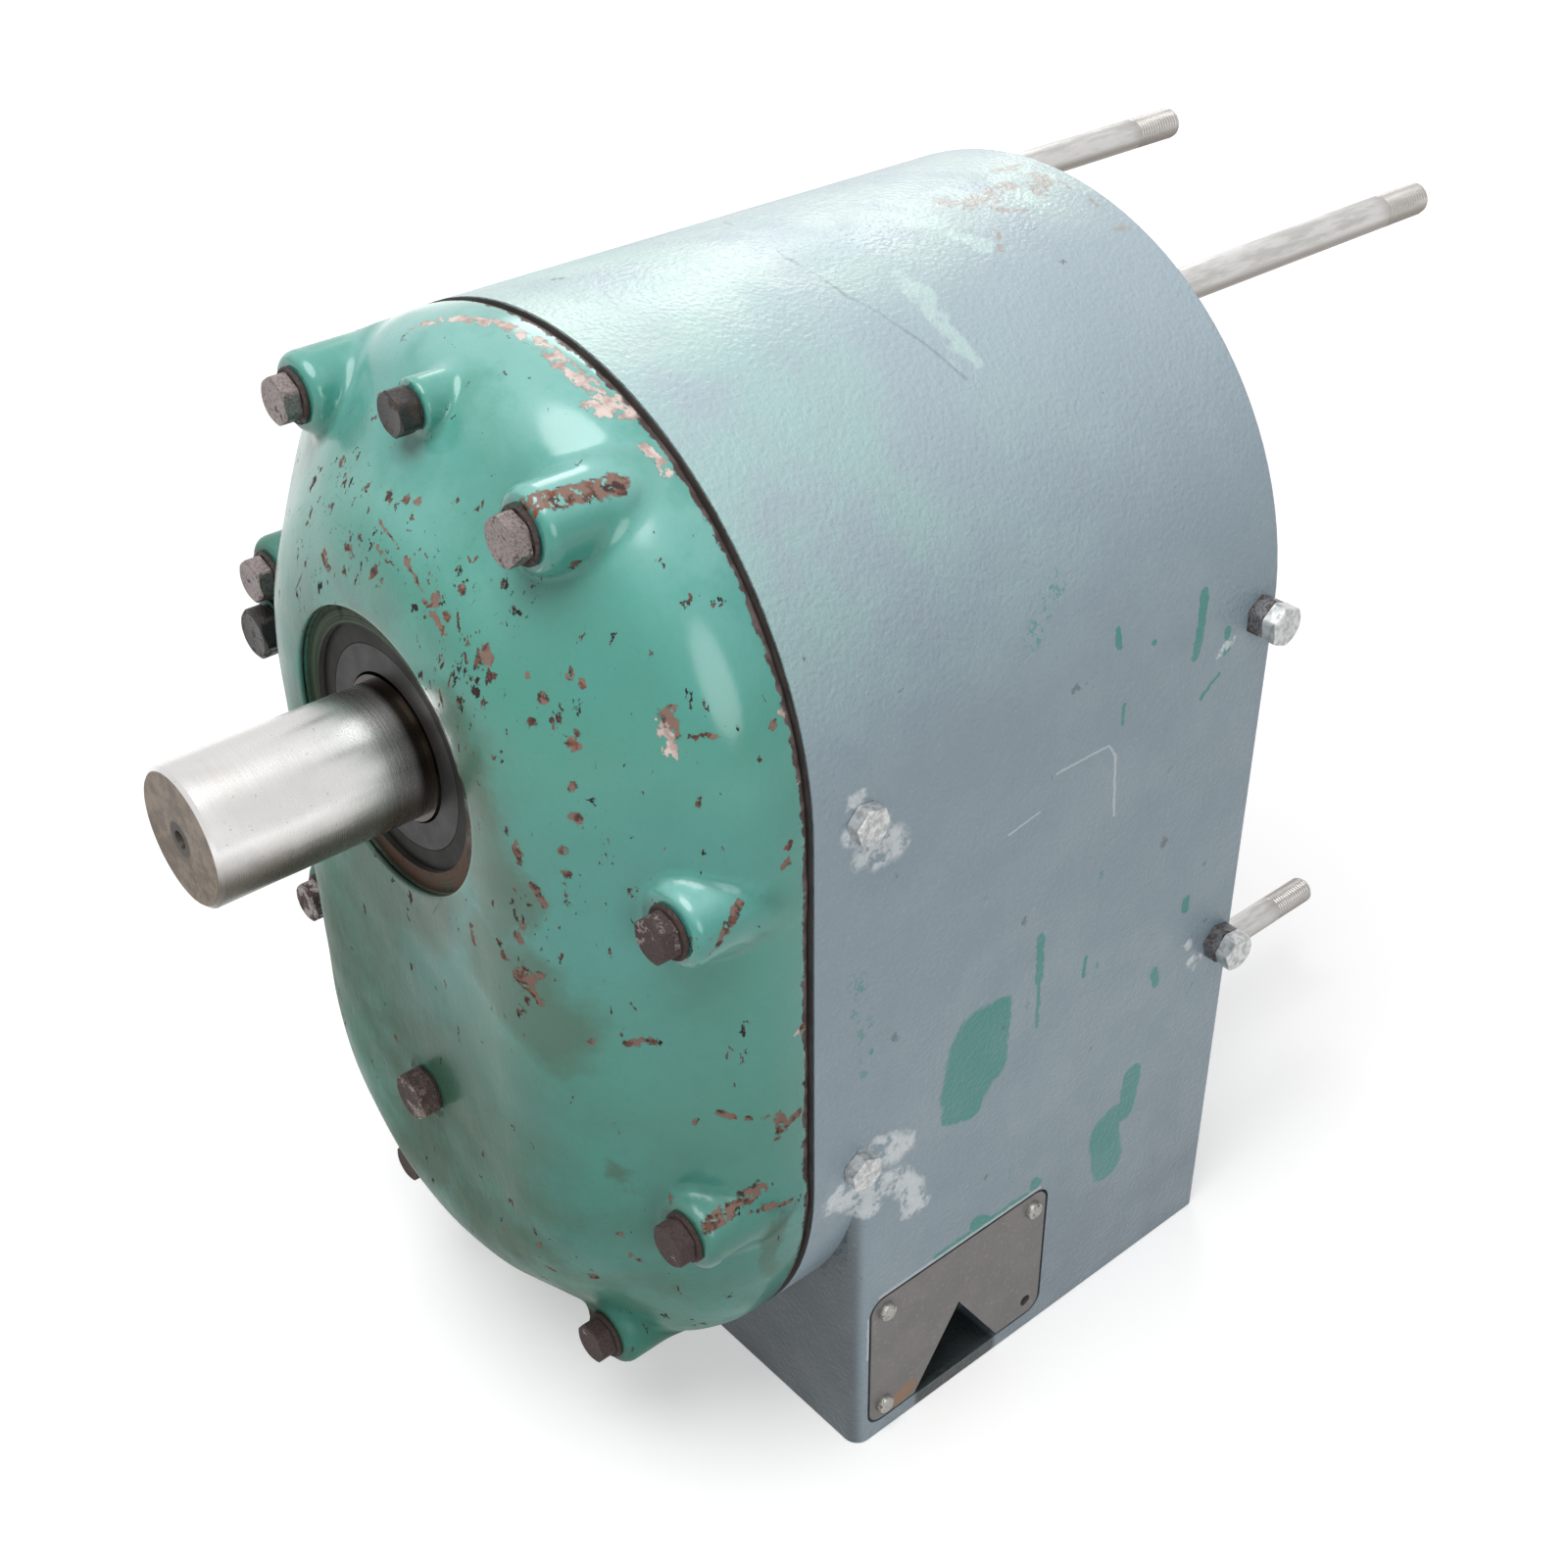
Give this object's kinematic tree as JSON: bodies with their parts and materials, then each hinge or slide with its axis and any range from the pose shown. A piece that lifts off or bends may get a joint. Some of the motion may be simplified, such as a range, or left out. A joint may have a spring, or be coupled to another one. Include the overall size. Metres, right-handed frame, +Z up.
{
  "type": "electric geared motor",
  "caption": "Electric geared motor: footed casing with a domed two-axis gear case cover, solid output shaft, long tie bolts and a notched terminal plate.",
  "frame": {"origin": "centre of the foot, on the surface that it stands on", "axes": "+Y from the shaft end to the rear, +Z up, +X towards the terminal plate's side"},
  "size_m": [0.362, 0.654, 0.5475],
  "materials": {
    "casing_paint": "satin grey-blue paint over cast iron",
    "cover_enamel": "gloss teal-green enamel over cast iron, chipped",
    "joint_paper": "oily brown joint paper",
    "cast_iron": "bare casting",
    "bolt_steel": "worn bare steel",
    "rusty_steel": "steel browned by rust",
    "black_steel": "blackened steel",
    "sealing_ring": "fibre sealing ring",
    "turned_steel": "bright turned steel",
    "machined_steel": "oiled machined steel",
    "bearing_steel": "polished bearing steel",
    "seal_rubber": "black nitrile",
    "laminations": "stacked electrical steel",
    "cage_aluminium": "die-cast cage",
    "copper_wire": "varnished copper wire",
    "plate_steel": "dull sheet steel",
    "block_resin": "moulded phenolic",
    "stud_brass": "dull brass"
  },
  "bodies": {
    "casing": {"body_casing": "casing_paint", "gear_case_cover": "cover_enamel", "cover_gasket": "joint_paper", "bearing_plate": "cast_iron", "rear_end_cover": "casing_paint", "tie_bolt_washers": "bolt_steel", "tie_bolts": "bolt_steel", "rear_rods": "bolt_steel", "cover_bolt_washers": "rusty_steel", "cover_bolts": "rusty_steel", "filler_plug_seal": "sealing_ring", "filler_plug": "black_steel", "level_plug_seal": "sealing_ring", "level_plug": "bolt_steel", "bearing_plug_seal": "sealing_ring", "bearing_plug": "rusty_steel", "plate_side_bolts": "bolt_steel", "rear_side_bolts": "bolt_steel", "rear_side_nuts": "bolt_steel", "bearing_snap_ring": "black_steel", "front_output_bearing_outer_race": "bearing_steel", "back_output_bearing_outer_race": "bearing_steel", "shaft_seal_case": "black_steel", "shaft_seal_lip": "seal_rubber", "front_motor_bearing_outer_race": "bearing_steel", "rear_motor_bearing_outer_race": "bearing_steel", "motor_shaft_seal": "seal_rubber", "bearing_preload_ring": "machined_steel", "stator_core": "laminations", "stator_windings": "copper_wire", "terminal_plate_gasket": "joint_paper", "terminal_plate": "plate_steel", "terminal_plate_screws": "bolt_steel", "terminal_block": "block_resin", "terminal_studs": "stud_brass"},
    "output": {"output_shaft": "turned_steel", "gear_key": "machined_steel", "output_gear": "machined_steel", "front_spacer": "machined_steel", "back_spacer": "machined_steel", "shaft_snap_ring": "black_steel", "front_output_bearing_inner_race": "bearing_steel", "front_output_bearing_balls": "bearing_steel", "back_output_bearing_inner_race": "bearing_steel", "back_output_bearing_balls": "bearing_steel"},
    "rotor": {"motor_shaft": "machined_steel", "rotor_core": "laminations", "rotor_cage": "cage_aluminium", "front_motor_bearing_inner_race": "bearing_steel", "front_motor_bearing_balls": "bearing_steel", "rear_motor_bearing_inner_race": "bearing_steel", "rear_motor_bearing_balls": "bearing_steel"}
  },
  "joints": [
    {"name": "output_spin", "type": "hinge", "parent": "casing", "child": "output", "pos_m": [0, 0, 0.3825], "axis": [0, 1, 0], "continuous": true},
    {"name": "rotor_spin", "type": "hinge", "parent": "casing", "child": "rotor", "pos_m": [0, 0, 0.1985], "axis": [0, 1, 0], "continuous": true}
  ],
  "couplings": [
    {"joint": "rotor_spin", "follows": "output_spin", "ratio": -1.9677}
  ]
}
